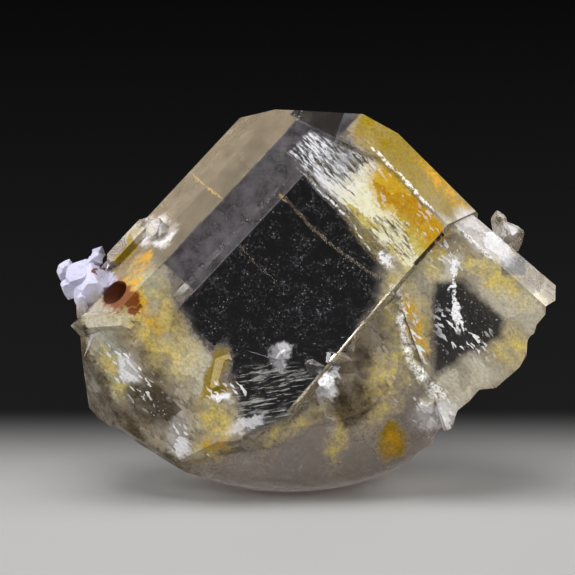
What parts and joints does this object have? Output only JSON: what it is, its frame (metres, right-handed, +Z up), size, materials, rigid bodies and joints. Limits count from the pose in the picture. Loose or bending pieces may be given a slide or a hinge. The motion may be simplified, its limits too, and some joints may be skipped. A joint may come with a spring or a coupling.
{
  "type": "faden quartz specimen",
  "caption": "Clear tabular quartz crystal with a white growth thread inside, iron-stained veils and small crystals on its edges, standing on a broken base.",
  "frame": {"origin": "on the surface it stands on, under the middle of its surrounding box", "axes": "+Z up, +X to the right of the broad front face, +Y away from the viewer, so the front face looks to -Y and leans back"},
  "size_m": [0.0622, 0.0274, 0.0487],
  "materials": {
    "quartz": "clear to milky, with smooth growth faces, iron stains and a frosted broken underside"
  },
  "bodies": {
    "root": {"faden_quartz": "quartz"}
  },
  "joints": []
}
